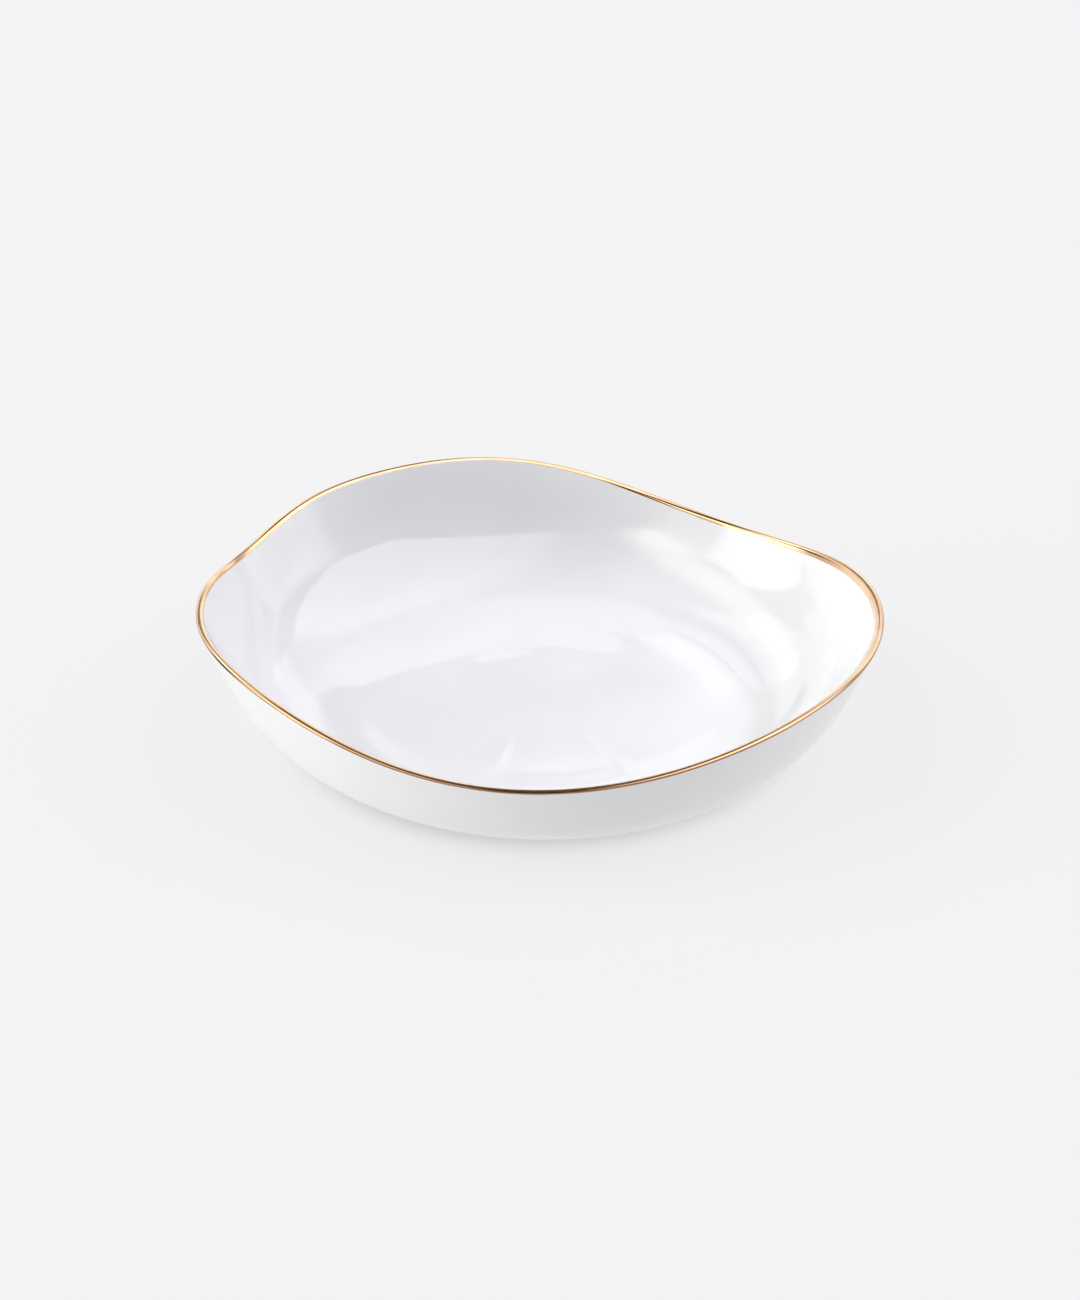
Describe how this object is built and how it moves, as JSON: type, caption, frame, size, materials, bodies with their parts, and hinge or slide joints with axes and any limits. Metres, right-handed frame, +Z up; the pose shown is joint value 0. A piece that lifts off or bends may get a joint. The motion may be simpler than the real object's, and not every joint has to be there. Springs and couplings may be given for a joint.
{
  "type": "serving bowl",
  "caption": "Wide shallow white porcelain serving bowl with a gently wavy, gilded rim, standing on a foot ring; holds and serves food.",
  "frame": {"origin": "centre of the foot ring's standing edge, on the surface that the bowl stands on", "axes": "+Z up, out of the bowl's mouth; -Y towards the viewer; +X to the viewer's right"},
  "size_m": [0.2628, 0.2637, 0.0563],
  "materials": {
    "biscuit_porcelain": "matte",
    "white_glaze": "polished",
    "gold_lustre": "polished"
  },
  "bodies": {
    "root": {"porcelain_body": "biscuit_porcelain", "foot_ring": "biscuit_porcelain", "glaze_coat": "white_glaze", "underside_glaze": "white_glaze", "gilt_rim": "gold_lustre"}
  },
  "joints": []
}
